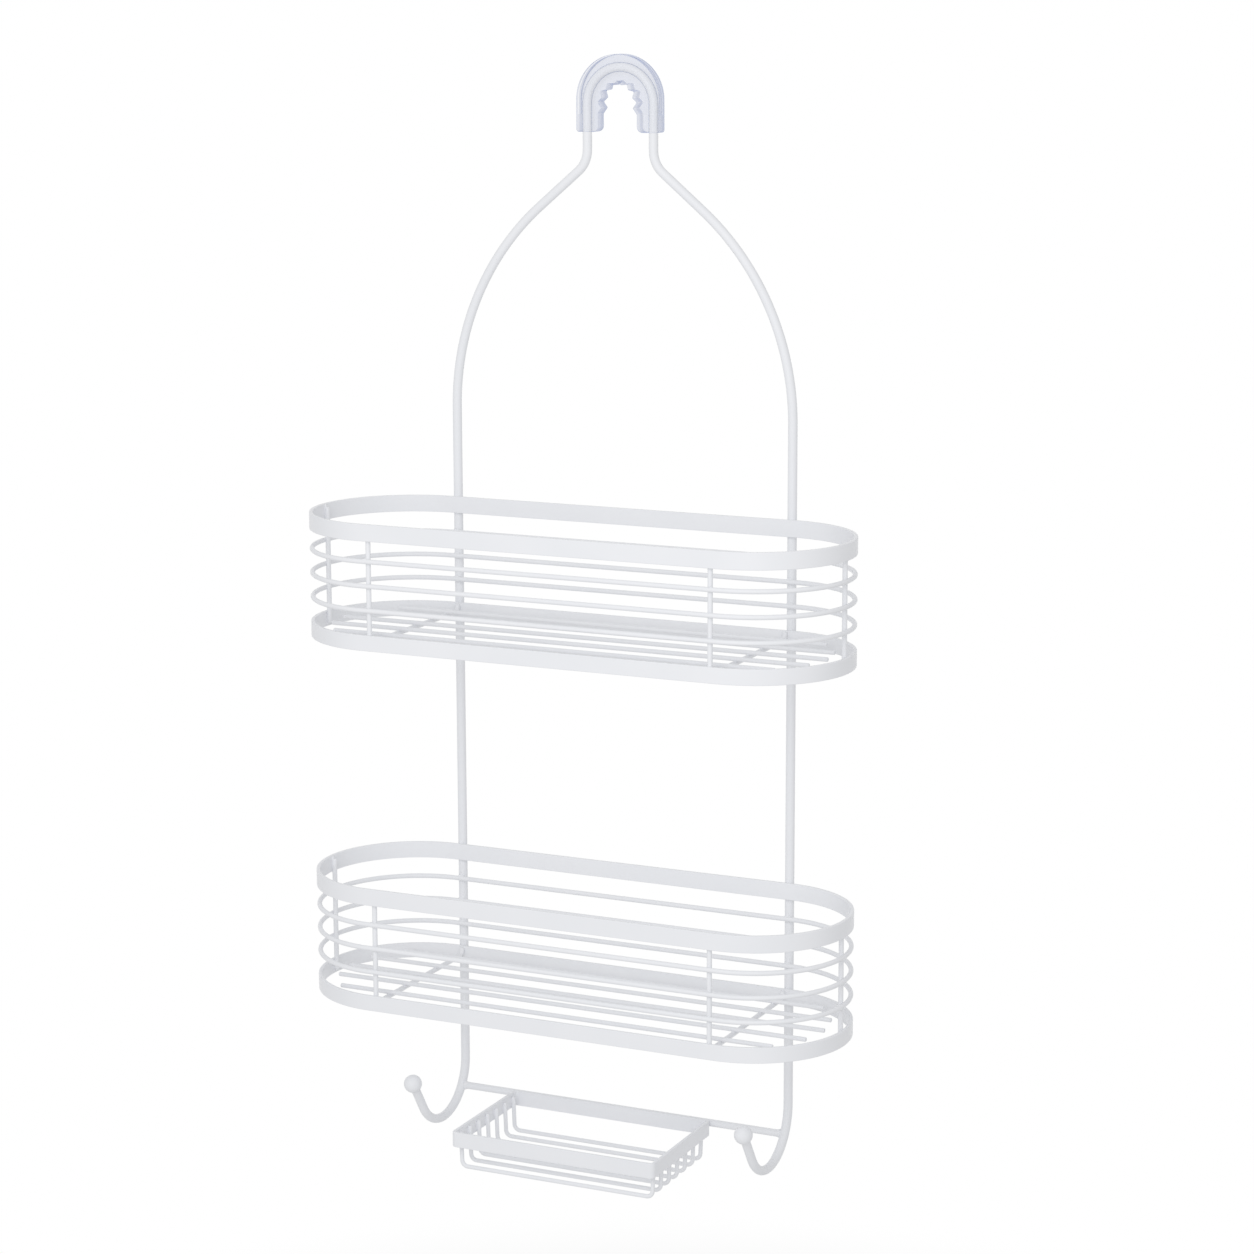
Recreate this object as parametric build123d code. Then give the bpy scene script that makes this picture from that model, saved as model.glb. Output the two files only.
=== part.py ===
from build123d import *

import math
import os

# Hanging wire shower caddy, in millimetres.
# +X is to the right, +Y points at the wall and +Z is up.
# The origin is the centre of the hoop that hangs on the shower arm.

# Frame wire: hoop, necks, bow, uprights and hooks
frame_wire_d = 5.0
hoop_radius = 19.4
neck_drop = 24.3
neck_bend_radius = 15.0
bow_angle = 50.1
bow_radius = 144.5
upright_spacing = 200.0
shoulder_to_basket = 50.0
basket_to_hook = 57.9
hook_radius = 27.9
hook_rise_angle = 56.7
hook_rise_length = 21.2
hook_ball_d = 10.1

# Baskets
basket_length = 310.0
basket_depth = 106.0
basket_gap = 130.8
band_thickness = 2.0
band_edge_radius = 0.4
top_band_height = 9.2
bottom_band_height = 8.5
ring_count = 3
ring_wire_d = 2.6
ring_pitch = 13.2
ring_drop = 10.9
post_wire_d = 2.7
post_end_gap = 1.8
brace_wire_d = 2.7
brace_spacing = 197.0
brace_bend_radius = 3.4
brace_tip_length = 0.8
brace_lift = 2.4
floor_wire_count = 5
floor_wire_d = 2.4
floor_side_margin = 15.2
floor_end_gap = 10.0

# Soap dish and the bar that carries it
crossbar_d = 4.0
crossbar_angle = 35.2
dish_width = 122.0
dish_depth = 77.0
dish_shift = -4.2
dish_rise = 2.4
dish_band_height = 8.5
dish_band_thickness = 1.8
dish_corner_radius = 3.0
dish_wire_count = 7
dish_wire_d = 2.3
dish_wire_drop = 21.2
dish_wire_margin = 4.9
dish_wire_top_gap = 1.8
dish_wire_bend_radius = 3.5
dish_wire_draft = 2.0

# Clear sleeve on the hoop
sleeve_depth = 9.2
sleeve_outer_wall = 4.6
sleeve_crown_lift = 2.2
sleeve_inner_wall = 7.9
sleeve_leg_drop = 14.8
sleeve_bore_clearance = 0.05
sleeve_grip_lift = 0.9
sleeve_tooth_count = 6
sleeve_tooth_height = 2.2
sleeve_tooth_round = 0.3
sleeve_inner_corner_radius = 3.0
sleeve_outer_corner_radius = 1.4
sleeve_edge_radius = 0.6
sleeve_groove_width = 3.6
sleeve_groove_depth = 0.4
sleeve_groove_drop = 5.6

# Wires that cross are pressed into each other a little where they are welded
weld_sink = 0.15
# Cut wire ends are rounded over by this share of the wire's diameter
wire_end_round = 0.25

SIDES = (("left", -1), ("right", 1))


def outline_reach(half_length, half_depth, x):
    """Distance of an oblong's outline from its long middle line, at a place along that line."""
    past_straight = max(0, x - (half_length - half_depth))
    return math.sqrt(half_depth**2 - past_straight**2)


# Sizes worked out from those above
frame_wire_r = frame_wire_d / 2
half_spacing = upright_spacing / 2
bow_turn = math.radians(bow_angle)
bend_sum = bow_radius + neck_bend_radius
bow_side = half_spacing - hoop_radius
bow_straight = (bow_side - bend_sum * (1 - math.cos(bow_turn))) / math.sin(bow_turn)
bow_height = bend_sum * math.sin(bow_turn) + bow_straight * math.cos(bow_turn)
shoulder_z = -neck_drop - bow_height

rings_height = ring_drop + ring_count * ring_pitch
basket_height = top_band_height + rings_height + bottom_band_height
upper_top_z = shoulder_z - shoulder_to_basket
lower_top_z = upper_top_z - basket_height - basket_gap
hook_z = lower_top_z - basket_height - basket_to_hook

upright_seat = frame_wire_r - weld_sink
seat_half_length = basket_length / 2 + upright_seat
seat_half_depth = basket_depth / 2 + upright_seat
basket_middle_y = -outline_reach(seat_half_length, seat_half_depth, half_spacing)
inner_half_length = basket_length / 2 - band_thickness
inner_half_depth = basket_depth / 2 - band_thickness

brace_run_z = brace_lift + brace_wire_d / 2 - basket_height

hook_turn = math.radians(90 + hook_rise_angle)
crossbar_turn = math.radians(crossbar_angle)
crossbar_y = hook_radius * (math.cos(crossbar_turn) - 1)
crossbar_z = hook_z - hook_radius * math.sin(crossbar_turn)
dish_top_z = crossbar_z + dish_rise
dish_back_y = crossbar_y - crossbar_d / 2 + weld_sink
dish_middle_y = dish_back_y - dish_depth / 2

sleeve_outer_radius = hoop_radius + sleeve_outer_wall
sleeve_inner_radius = hoop_radius - sleeve_inner_wall


def wire_along(path, diameter):
    """Round wire swept along a path of lines and tangent arcs."""
    start = Plane(origin=path @ 0, z_dir=path % 0)
    return sweep(start * Circle(diameter / 2), path=path)


def cut_wire(path, diameter):
    """Round wire along a path, with its two cut ends rounded over."""
    rod = wire_along(path, diameter)
    ends = rod.faces().filter_by(GeomType.PLANE).edges()
    return fillet(ends, wire_end_round * diameter)


def welded(piece, *seats):
    """The piece with the dents that its welds press into it."""
    for seat in seats:
        piece = piece - seat
    return piece


def oblong(half_length, half_depth):
    """Flat sheet with straight long sides and round ends."""
    return SlotOverall(2 * half_length, 2 * half_depth)


def strip_band(sheet, height):
    """Flat strip bent round a sheet's outline, with softened edges."""
    band = extrude(sheet, height)
    rims = band.faces().filter_by(Axis.Z).edges()
    return fillet(rims, band_edge_radius)


def hook_point(side, turn):
    """Point on a hook's bend, by the angle turned from the upright."""
    y = hook_radius * (math.cos(turn) - 1)
    z = hook_z - hook_radius * math.sin(turn)
    return Vector(side * half_spacing, y, z)


def hook_end(side):
    """Centre of the ball on the end of a hook."""
    rise = Vector(0, -math.sin(hook_turn), -math.cos(hook_turn))
    return hook_point(side, hook_turn) + rise * hook_rise_length


def bow_point(side, turn):
    """Point on a bow, by the angle turned from the top of the upright."""
    x = half_spacing - bow_radius * (1 - math.cos(turn))
    return Vector(side * x, 0, shoulder_z + bow_radius * math.sin(turn))


def neck_point(side, turn):
    """Point on the bend under a neck, by the angle turned from the neck."""
    x = hoop_radius + neck_bend_radius * (1 - math.cos(turn))
    return Vector(side * x, 0, -neck_drop - neck_bend_radius * math.sin(turn))


def frame_side(side):
    """Edges of one half of the frame wire, from the ball up to the hoop."""
    return [
        Line(hook_end(side), hook_point(side, hook_turn)),
        ThreePointArc(hook_point(side, hook_turn), hook_point(side, hook_turn / 2), hook_point(side, 0)),
        Line(hook_point(side, 0), bow_point(side, 0)),
        ThreePointArc(bow_point(side, 0), bow_point(side, bow_turn / 2), bow_point(side, bow_turn)),
        Line(bow_point(side, bow_turn), neck_point(side, bow_turn)),
        ThreePointArc(neck_point(side, bow_turn), neck_point(side, bow_turn / 2), neck_point(side, 0)),
    ]


def hoop_edges():
    """Edges of the two necks and the half circle that joins them."""
    left = Line(neck_point(-1, 0), (-hoop_radius, 0, 0))
    arch = ThreePointArc((-hoop_radius, 0, 0), (0, 0, hoop_radius), (hoop_radius, 0, 0))
    right = Line((hoop_radius, 0, 0), neck_point(1, 0))
    return [left, arch, right]


def make_frame_wire():
    """The one long wire: hook, upright, bow, hoop and down the other side."""
    path = Wire(frame_side(-1) + hoop_edges() + frame_side(1))
    return wire_along(path, frame_wire_d)


def make_hook_ball(side, frame):
    """Ball on a hook, with the blind hole that the wire's end sits in."""
    ball = Pos(*hook_end(side)) * Sphere(hook_ball_d / 2)
    return welded(ball, frame)


def arch_sheet(radius, drop):
    """Front view of the sleeve's outside: a half disc on top of a straight-sided block."""
    spring = sleeve_crown_lift
    legs = Polyline((-radius, spring), (-radius, -drop), (radius, -drop), (radius, spring))
    crown = ThreePointArc((radius, spring), (0, spring + radius), (-radius, spring))
    return make_face([legs, crown])


def tooth_points():
    """Corners of the grip teeth, from the right leg over the arch to the left."""
    spring = sleeve_grip_lift
    pitch = math.pi / sleeve_tooth_count
    leg_pitch = sleeve_inner_radius * pitch
    tip_radius = sleeve_inner_radius - sleeve_tooth_height
    right = [(sleeve_inner_radius, spring - leg_pitch), (tip_radius, spring - leg_pitch / 2)]
    left = [(-tip_radius, spring - leg_pitch / 2), (-sleeve_inner_radius, spring - leg_pitch)]
    arch = []
    for step in range(2 * sleeve_tooth_count + 1):
        radius = tip_radius if step % 2 else sleeve_inner_radius
        angle = step * pitch / 2
        arch.append((radius * math.cos(angle), spring + radius * math.sin(angle)))
    return right + arch + left


def arm_gap_sheet():
    """Front view of the gap for the shower arm, toothed above and flared below."""
    inner = sleeve_inner_radius
    mouth = inner + sleeve_inner_corner_radius
    foot = -sleeve_leg_drop
    bend = foot + sleeve_inner_corner_radius
    below = 2 * foot
    grip = FilletPolyline((inner, bend), *tooth_points(), (-inner, bend), radius=sleeve_tooth_round)
    right = TangentArc((inner, bend), (mouth, foot), tangent=(0, -1))
    left = TangentArc((-inner, bend), (-mouth, foot), tangent=(0, -1))
    base = Polyline((mouth, foot), (mouth, below), (-mouth, below), (-mouth, foot))
    return make_face([grip, right, base, left])


def make_hanger_sleeve():
    """Clear saddle pushed onto the hoop, with a shallow groove round its outside."""
    sheet = arch_sheet(sleeve_outer_radius, sleeve_leg_drop)
    feet = sheet.vertices().group_by(Axis.Y)[0]
    sheet = fillet(feet, sleeve_outer_corner_radius)
    body = extrude(Plane.XZ * sheet, sleeve_depth / 2, both=True)
    body = fillet(body.faces().filter_by(Axis.Y).edges(), sleeve_edge_radius)
    body -= extrude(Plane.XZ * arm_gap_sheet(), sleeve_depth, both=True)
    groove = arch_sheet(2 * sleeve_outer_radius, sleeve_groove_drop)
    groove -= arch_sheet(sleeve_outer_radius - sleeve_groove_depth, 2 * sleeve_groove_drop)
    body -= extrude(Plane.XZ * groove, sleeve_groove_width / 2, both=True)
    return body - wire_along(Wire(hoop_edges()), frame_wire_d + 2 * sleeve_bore_clearance)


def make_bands(top_z, frame):
    """Top and bottom bands of a basket, welded to the uprights."""
    sheet = oblong(basket_length / 2, basket_depth / 2) - oblong(inner_half_length, inner_half_depth)
    top = Pos(0, basket_middle_y, top_z - top_band_height) * strip_band(sheet, top_band_height)
    bottom = Pos(0, basket_middle_y, top_z - basket_height) * strip_band(sheet, bottom_band_height)
    return {"top_band": welded(top, frame), "bottom_band": welded(bottom, frame)}


def make_rings(top_z, frame):
    """Side rings of a basket, whose outer sides lie in line with the bands' outer faces."""
    ring_r = ring_wire_d / 2
    path = oblong(basket_length / 2 - ring_r, basket_depth / 2 - ring_r).face().outer_wire()
    ring = wire_along(path, ring_wire_d)
    first_z = top_z - top_band_height - ring_drop
    rings = {}
    for number in range(ring_count):
        placed = Pos(0, basket_middle_y, first_z - number * ring_pitch) * ring
        rings[f"side_ring_{number + 1}"] = welded(placed, frame)
    return rings


def make_end_posts(top_z, walls):
    """Upright wires inside the left and right ends of a basket."""
    x = inner_half_length - post_wire_d / 2 + weld_sink
    high = top_z - post_end_gap
    low = top_z - basket_height + post_end_gap
    posts = {}
    for name, side in SIDES:
        path = Line((side * x, basket_middle_y, low), (side * x, basket_middle_y, high))
        posts[f"end_post_{name}"] = welded(cut_wire(path, post_wire_d), *walls)
    return posts


def make_braces(top_z, walls):
    """Bent wires: front leg, run under the floor and short rear tip."""
    seat = brace_wire_d / 2 - weld_sink
    reach = outline_reach(inner_half_length - seat, inner_half_depth - seat, brace_spacing / 2)
    front = basket_middle_y - reach
    rear = basket_middle_y + reach
    run_z = top_z + brace_run_z
    tip_z = run_z + brace_bend_radius + brace_tip_length
    braces = {}
    for name, side in SIDES:
        x = side * brace_spacing / 2
        path = FilletPolyline(
            (x, front, top_z - post_end_gap),
            (x, front, run_z),
            (x, rear, run_z),
            (x, rear, tip_z),
            radius=brace_bend_radius,
        )
        braces[f"brace_wire_{name}"] = welded(cut_wire(path, brace_wire_d), *walls)
    return braces


def make_floor_wires(top_z, braces):
    """Straight floor wires whose free ends follow the basket's round ends."""
    z = top_z + brace_run_z + (brace_wire_d + floor_wire_d) / 2 - weld_sink
    reach = inner_half_depth - floor_side_margin
    pitch = 2 * reach / (floor_wire_count - 1)
    round_middle = inner_half_length - inner_half_depth
    wires = {}
    for number in range(floor_wire_count):
        offset = reach - number * pitch
        half = round_middle + math.sqrt(inner_half_depth**2 - offset**2) - floor_end_gap
        y = basket_middle_y + offset
        wire = cut_wire(Line((-half, y, z), (half, y, z)), floor_wire_d)
        wires[f"floor_wire_{number + 1}"] = welded(wire, *braces)
    return wires


def make_basket(name, top_z, frame):
    """All pieces of one basket, by node name."""
    walls = make_bands(top_z, frame) | make_rings(top_z, frame)
    posts = make_end_posts(top_z, walls.values())
    braces = make_braces(top_z, walls.values())
    floor = make_floor_wires(top_z, braces.values())
    basket = walls | posts | braces | floor
    return {f"{name}_{piece}": solid for piece, solid in basket.items()}


def make_crossbar(frame):
    """Bar welded between the hooks, which carries the soap dish."""
    left = (-half_spacing, crossbar_y, crossbar_z)
    right = (half_spacing, crossbar_y, crossbar_z)
    return welded(wire_along(Line(left, right), crossbar_d), frame)


def make_dish_band(crossbar):
    """Rounded rectangular band of the soap dish, welded to the crossbar."""
    wall = dish_band_thickness
    outer = RectangleRounded(dish_width, dish_depth, dish_corner_radius)
    inner = RectangleRounded(dish_width - 2 * wall, dish_depth - 2 * wall, dish_corner_radius - wall)
    band = strip_band(outer - inner, dish_band_height)
    return welded(Pos(dish_shift, dish_middle_y, dish_top_z - dish_band_height) * band, crossbar)


def make_dish_wires(band):
    """U-shaped wires of the soap dish, from back to front."""
    high = dish_top_z - dish_wire_top_gap
    low = dish_top_z - dish_wire_drop
    top_x = dish_width / 2 - dish_band_thickness - dish_wire_d / 2 + weld_sink
    low_x = top_x - (high - low) * math.tan(math.radians(dish_wire_draft))
    reach = dish_depth / 2 - dish_band_thickness - dish_wire_margin
    pitch = 2 * reach / (dish_wire_count - 1)
    path = FilletPolyline(
        (dish_shift - top_x, dish_middle_y, high),
        (dish_shift - low_x, dish_middle_y, low),
        (dish_shift + low_x, dish_middle_y, low),
        (dish_shift + top_x, dish_middle_y, high),
        radius=dish_wire_bend_radius,
    )
    wire = cut_wire(path, dish_wire_d)
    wires = {}
    for number in range(dish_wire_count):
        placed = Pos(0, reach - number * pitch, 0) * wire
        wires[f"dish_wire_{number + 1}"] = welded(placed, band)
    return wires


def make_caddy():
    """All pieces of the caddy, by node name."""
    frame = make_frame_wire()
    crossbar = make_crossbar(frame)
    dish_band = make_dish_band(crossbar)
    pieces = {"frame_wire": frame, "hanger_sleeve": make_hanger_sleeve()}
    for name, side in SIDES:
        pieces[f"hook_ball_{name}"] = make_hook_ball(side, frame)
    pieces |= make_basket("upper", upper_top_z, frame)
    pieces |= make_basket("lower", lower_top_z, frame)
    pieces |= {"dish_crossbar": crossbar, "dish_band": dish_band}
    return pieces | make_dish_wires(dish_band)


os.makedirs("parts", exist_ok=True)
for node, solid in make_caddy().items():
    export_step(solid, f"parts/{node}.step")
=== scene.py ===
"""Looks of a hanging wire shower caddy with a clear sleeve on its hoop, in metres."""

import logging
import math
from collections.abc import Callable, Iterable
from dataclasses import dataclass, field
from enum import Enum

import bpy
from mathutils import Euler, Matrix, Vector


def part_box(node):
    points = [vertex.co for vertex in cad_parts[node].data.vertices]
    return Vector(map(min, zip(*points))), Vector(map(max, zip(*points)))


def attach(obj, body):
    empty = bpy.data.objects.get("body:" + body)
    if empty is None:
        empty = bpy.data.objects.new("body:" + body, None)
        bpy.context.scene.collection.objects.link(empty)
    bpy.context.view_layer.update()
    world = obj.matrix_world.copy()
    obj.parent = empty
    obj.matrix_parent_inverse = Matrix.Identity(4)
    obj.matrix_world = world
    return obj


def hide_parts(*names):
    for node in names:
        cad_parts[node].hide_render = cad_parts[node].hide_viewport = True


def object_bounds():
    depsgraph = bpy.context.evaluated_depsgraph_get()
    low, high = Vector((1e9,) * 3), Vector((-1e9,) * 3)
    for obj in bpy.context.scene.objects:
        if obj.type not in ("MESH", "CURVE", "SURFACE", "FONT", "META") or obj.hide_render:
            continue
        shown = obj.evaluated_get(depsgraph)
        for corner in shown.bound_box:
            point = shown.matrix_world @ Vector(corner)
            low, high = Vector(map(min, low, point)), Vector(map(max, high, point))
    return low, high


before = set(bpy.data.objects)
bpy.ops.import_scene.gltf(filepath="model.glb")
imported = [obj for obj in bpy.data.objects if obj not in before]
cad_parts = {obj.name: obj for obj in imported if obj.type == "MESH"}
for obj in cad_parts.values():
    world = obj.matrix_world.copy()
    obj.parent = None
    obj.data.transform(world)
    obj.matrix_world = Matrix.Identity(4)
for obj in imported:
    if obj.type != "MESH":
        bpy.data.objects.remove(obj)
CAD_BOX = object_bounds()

log = logging.getLogger("shower_caddy")

Piece = bpy.types.Object
Socket = bpy.types.NodeSocket
Value = Socket | float | tuple[float, ...]
Span = tuple[float, float]  # low and high
Noise = tuple[float, float]  # features to the metre, and finer layers
Place = tuple[float, float, float]
Colour = tuple[float, float, float, float]

MM = 0.001
ROOT = "root"
SMOOTH_ANGLE = math.radians(35.0)
QUARTER = math.pi / 2.0
RIGHT = Vector((1.0, 0.0, 0.0))
BACK = Vector((0.0, 1.0, 0.0))
UP = Vector((0.0, 0.0, 1.0))
LEVEL = RIGHT + BACK


class Side(Enum):
    """The two sides of the caddy, by the sign of X."""

    LEFT = -1
    RIGHT = 1

    @property
    def label(self) -> str:
        """The side's word in node names."""
        return self.name.lower()


def middle_of(node: str) -> Vector:
    """Middle of a solid's box."""
    low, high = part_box(node)
    return (low + high) / 2.0


def facing(heading: Vector) -> Euler:
    """Turn that sets a primitive's own Z along a heading, and its own Y as far up as can be."""
    return heading.to_track_quat("Z", "Y").to_euler()


def direction(azimuth: float, elevation: float) -> Vector:
    """Direction from the caddy, by degrees from its front towards the right and above level."""
    turn, lift = math.radians(azimuth), math.radians(elevation)
    return Vector(
        (math.sin(turn) * math.cos(lift), -math.cos(turn) * math.cos(lift), math.sin(lift))
    )


def clear_selection() -> None:
    """Go to object mode with nothing selected."""
    if bpy.context.object and bpy.context.object.mode != "OBJECT":
        bpy.ops.object.mode_set(mode="OBJECT")
    bpy.ops.object.select_all(action="DESELECT")


def select_parts(piece: Piece, kind: str, wanted: Callable[[bpy.types.bpy_struct], bool]) -> None:
    """Select a piece's vertices, edges or faces by a test, and go to edit mode.

    Args:
        piece: The active piece, in object mode.
        kind: VERT, EDGE or FACE.
        wanted: Test of a vertex, edge or face.
    """
    bpy.ops.object.mode_set(mode="EDIT")
    bpy.ops.mesh.select_mode(type=kind)
    bpy.ops.mesh.select_all(action="DESELECT")
    bpy.ops.object.mode_set(mode="OBJECT")
    mesh = piece.data
    parts = {"VERT": mesh.vertices, "EDGE": mesh.edges, "FACE": mesh.polygons}
    for part in parts[kind]:
        part.select = wanted(part)
    bpy.ops.object.mode_set(mode="EDIT")


def draw_on(step: Vector) -> None:
    """Draw the selected ring of edges on by a step."""
    bpy.ops.mesh.extrude_edges_move(TRANSFORM_OT_translate={"value": step})


def select_rims() -> None:
    """Select the open rims of the piece in edit mode."""
    bpy.ops.mesh.select_all(action="DESELECT")
    bpy.ops.mesh.select_non_manifold()


def fill_openings() -> None:
    """Close the open rims of the piece in edit mode with flat faces."""
    select_rims()
    bpy.ops.mesh.fill_holes(sides=0)


def turn_outwards() -> None:
    """Turn the faces of the piece in edit mode outwards, and go to object mode."""
    bpy.ops.mesh.select_all(action="SELECT")
    bpy.ops.mesh.normals_make_consistent(inside=False)
    bpy.ops.object.mode_set(mode="OBJECT")


def apply_modifier(piece: Piece, kind: str, **settings: object) -> None:
    """Add a modifier to the active piece and apply it.

    Args:
        piece: The active piece, in object mode.
        kind: Blender's name for the modifier.
        **settings: The modifier's settings.
    """
    modifier = piece.modifiers.new(kind.lower(), kind)
    for setting, value in settings.items():
        setattr(modifier, setting, value)
    bpy.ops.object.modifier_apply(modifier=modifier.name)


def keep_flats(piece: Piece) -> None:
    """Keep the active piece's broad faces flat beside its rounded edges, in its shading."""
    apply_modifier(piece, "WEIGHTED_NORMAL", keep_sharp=True)


def name_piece(name: str) -> Piece:
    """Name the active piece and its mesh, and return the piece."""
    bpy.context.object.name = bpy.context.object.data.name = name
    return bpy.context.object


def put_in_scene(name: str, data: bpy.types.ID) -> bpy.types.Object:
    """Add an object with the given mesh, lamp or camera to the scene.

    Args:
        name: Name of the object.
        data: Its mesh, lamp or camera.

    Returns:
        The object.
    """
    thing = bpy.data.objects.new(name, data)
    bpy.context.scene.collection.objects.link(thing)
    return thing


def placed_copy(mesh: bpy.types.Mesh, name: str, move: Matrix) -> Piece:
    """Copy a mesh to another place.

    Args:
        mesh: The finished mesh.
        name: Name of the copy.
        move: Move from the mesh to its copy.

    Returns:
        The copy, with a mesh of its own.
    """
    copy = mesh.copy()
    copy.name = name
    copy.transform(move)
    return put_in_scene(name, copy)


class Section:
    """What a bender feeds along its route, shaped from a square unless its kind says otherwise."""

    blank_size = 1.0

    def add_blank(self, at: Vector, turn: Euler) -> None:
        """Add the square that the section is shaped from."""
        bpy.ops.mesh.primitive_plane_add(size=self.blank_size, location=at, rotation=turn)

    def shape_blank(self, at: Vector) -> None:
        """Shape the blank round its middle, in edit mode, where it needs it."""

    def feed(self, step: Vector) -> None:
        """Draw the section on by a step."""
        draw_on(step)


class PenPoint(Section):
    """A single point, which draws an outline."""

    blank_size = 1.0 * MM

    def shape_blank(self, at: Vector) -> None:
        """Draw the square together into its middle."""
        bpy.ops.mesh.merge(type="CENTER")

    def feed(self, step: Vector) -> None:
        """Draw the selected point on by a step."""
        bpy.ops.mesh.extrude_vertices_move(TRANSFORM_OT_translate={"value": step})


@dataclass(frozen=True)
class RoundSection(Section):
    """Section of a round wire, by half its width."""

    half: float
    sides: int = 20

    def add_blank(self, at: Vector, turn: Euler) -> None:
        """Add the wire's circle."""
        shape = {"vertices": self.sides, "radius": self.half}
        bpy.ops.mesh.primitive_circle_add(**shape, location=at, rotation=turn)


@dataclass(frozen=True)
class StripSection(Section):
    """Section of a flat strip on edge, by half its width, with softened corners."""

    half: float
    height: float
    corner: float
    corner_steps: int = 3

    def shape_blank(self, at: Vector) -> None:
        """Make the square the outline of a strip that sets off along X.

        Args:
            at: Middle of the section.
        """
        bpy.ops.transform.resize(value=(1.0, 2.0 * self.half, self.height), center_override=at)
        bpy.ops.mesh.bevel(offset=self.corner, segments=self.corner_steps, affect="VERTICES")
        bpy.ops.mesh.select_all(action="SELECT")
        bpy.ops.mesh.delete(type="ONLY_FACE")
        bpy.ops.mesh.select_all(action="SELECT")


class WireBender:
    """Makes a wire or strip as a bending machine does, fed straight or round a former."""

    chord_error = 0.015 * MM
    merge_gap = 0.01 * MM
    end_steps = 4

    def __init__(self, name: str, section: Section, at: Vector, heading: Vector) -> None:
        """Set the section at the start of the route.

        Args:
            name: Name of the new piece.
            section: Section of the wire or strip.
            at: Where the middle of the wire starts.
            heading: Direction in which it sets off.
        """
        clear_selection()
        self.section = section
        self.at = at.copy()
        self.heading = heading.normalized()
        section.add_blank(self.at, facing(self.heading))
        bpy.ops.object.mode_set(mode="EDIT")
        section.shape_blank(self.at)
        self.piece = name_piece(name)

    def straight(self, length: float) -> "WireBender":
        """Feed the wire straight on.

        Args:
            length: Length of the straight.

        Returns:
            The bender.
        """
        if length > self.merge_gap:
            step = self.heading * length
            self.section.feed(step)
            self.at += step
        return self

    def bend(self, radius: float, angle: float, axis: Vector) -> "WireBender":
        """Feed the wire round a former.

        Args:
            radius: Radius of the bend at the wire's middle.
            angle: Turn, by the right-hand rule about the axis.
            axis: Direction of the former's axis, square to the heading.

        Returns:
            The bender.
        """
        centre = self.at + axis.cross(self.heading) * radius
        widest_step = 2.0 * math.acos(1.0 - self.chord_error / radius)
        steps = math.ceil(angle / widest_step)
        bpy.ops.mesh.spin(steps=steps, angle=-angle, center=centre, axis=axis)
        turn = Matrix.Rotation(angle, 3, axis)
        self.at = centre + turn @ (self.at - centre)
        self.heading = turn @ self.heading
        return self

    def corners(self, points: list[Vector], radius: float = 0.0) -> "WireBender":
        """Follow straight runs with the same bend at each corner.

        Args:
            points: The corners after the start, and the end.
            radius: Radius of every bend, or 0 for sharp corners.

        Returns:
            The bender.
        """
        for corner, after in zip(points, points[1:]):
            leaving = (after - corner).normalized()
            turn = self.heading.angle(leaving)
            setback = radius * math.tan(turn / 2.0)
            self.straight((corner - self.at).length - setback)
            if radius:
                self.bend(radius, turn, self.heading.cross(leaving).normalized())
            self.heading = leaving
        return self.straight((points[-1] - self.at).length)

    def close_loop(self) -> "WireBender":
        """Weld the end of the wire to its start.

        Returns:
            The bender.
        """
        bpy.ops.mesh.select_all(action="SELECT")
        bpy.ops.mesh.remove_doubles(threshold=self.merge_gap)
        return self

    def cap_ends(self, rounding: float = 0.0) -> "WireBender":
        """Close both cut ends of a round wire.

        Args:
            rounding: How far the rim of each end is rounded over.

        Returns:
            The bender.
        """
        fill_openings()
        if rounding:
            bpy.ops.mesh.select_mode(type="FACE")
            bpy.ops.mesh.select_all(action="DESELECT")
            bpy.ops.mesh.select_face_by_sides(number=self.section.sides, type="EQUAL")
            bpy.ops.mesh.bevel(offset=rounding, segments=self.end_steps, affect="EDGES")
            bpy.ops.mesh.select_mode(type="VERT")
        return self

    def finish(self) -> Piece:
        """Turn the faces outwards and leave the piece at the origin, shaded smooth.

        Returns:
            The piece, in object mode.
        """
        turn_outwards()
        bpy.ops.object.transform_apply(location=True, rotation=True, scale=True)
        bpy.ops.object.shade_smooth_by_angle(angle=SMOOTH_ANGLE)
        if isinstance(self.section, StripSection):
            keep_flats(self.piece)
        return self.piece


class Bead(Enum):
    """Weld beads, as rings from one piece to the other: height, half width and half length."""

    CROSSING = (
        (-0.44, 1.41, 0.67), (-0.22, 1.07, 0.78), (0.0, 0.84, 0.84), (0.22, 0.78, 1.07),
        (0.44, 0.67, 1.41),
    )
    SEAM = (
        (-0.15, 1.06, 1.04), (0.0, 0.96, 1.0), (0.16, 0.83, 0.97), (0.35, 0.79, 0.94),
        (0.6, 0.8, 0.9),
    )
    COLLAR = (
        (0.9, 1.08, 1.65), (1.4, 1.06, 1.32), (1.8, 1.04, 1.14), (2.35, 1.02, 1.04),
        (2.9, 0.96, 0.96),
    )


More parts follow.
